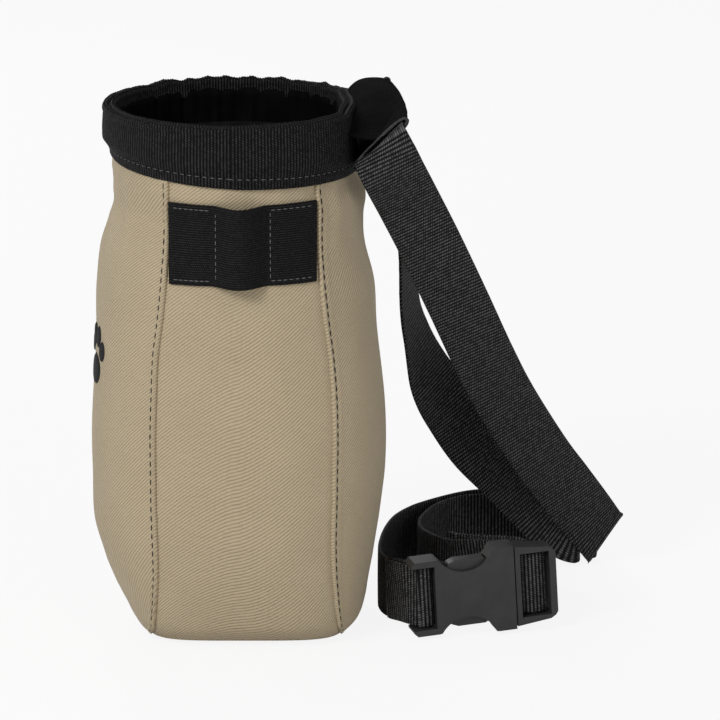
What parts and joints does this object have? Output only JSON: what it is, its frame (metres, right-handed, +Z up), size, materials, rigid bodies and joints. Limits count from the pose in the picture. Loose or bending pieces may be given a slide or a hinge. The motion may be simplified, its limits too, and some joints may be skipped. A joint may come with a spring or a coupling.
{
  "type": "treat pouch",
  "caption": "Soft fabric treat pouch with a stiff round mouth, a side webbing loop and a waist belt joined by a side release buckle.",
  "frame": {"origin": "centre of the pouch's flat base, on the surface it stands on", "axes": "+Z up, +X out of the front panel, +Y towards the back panel, where the belt sleeve, the belt and the buckle are"},
  "size_m": [0.1585, 0.2165, 0.2195],
  "materials": {
    "canvas": "khaki cotton twill",
    "lining": "black nylon, slightly shiny",
    "webbing": "ribbed black webbing",
    "belt": "coarse black belt webbing",
    "board": "plain board",
    "buckle": "charcoal, satin"
  },
  "bodies": {
    "pouch": {"front_panel": "canvas", "back_panel": "canvas", "right_side_panel": "canvas", "left_side_panel": "canvas", "base_panel": "canvas", "base_board": "board", "lining": "lining", "rim_band": "webbing", "rim_hoop": "board", "rim_facing": "lining", "utility_loop": "webbing", "belt_sleeve": "webbing", "belt_in_sleeve": "belt"},
    "belt": {"belt_front_strip": "belt", "belt_rear_strip": "belt", "belt_outer_loop": "belt", "belt_inner_loop": "belt", "socket_strap_wrap": "belt", "buckle_socket": "buckle"},
    "plug": {"buckle_plug": "buckle", "plug_strap_wrap": "belt", "belt_tail": "belt", "tail_hem": "belt"},
    "upper_arm": {"upper_release_arm": "buckle"},
    "lower_arm": {"lower_release_arm": "buckle"}
  },
  "joints": [
    {"name": "belt_swing", "type": "hinge", "parent": "pouch", "child": "belt", "pos_m": [0, 0.052, 0.202], "axis": [1, 0, 0], "range_deg": [0, 60]},
    {"name": "buckle_release", "type": "slide", "parent": "belt", "child": "plug", "axis": [-0.2415, 0.9686, 0.0587], "range_m": [0, 0.036], "deforming": ["upper_release_arm", "lower_release_arm"]},
    {"name": "upper_arm_flex", "type": "hinge", "parent": "plug", "child": "upper_arm", "pos_m": [0.01523, 0.10611, 0.02616], "axis": [0.9703, 0.2419, 0], "range_deg": [0, 8], "stiffness_Nm_per_rad": 0.2},
    {"name": "lower_arm_flex", "type": "hinge", "parent": "plug", "child": "lower_arm", "pos_m": [0.01499, 0.10704, 0.00979], "axis": [-0.9703, -0.2419, 0], "range_deg": [0, 8], "stiffness_Nm_per_rad": 0.2}
  ]
}
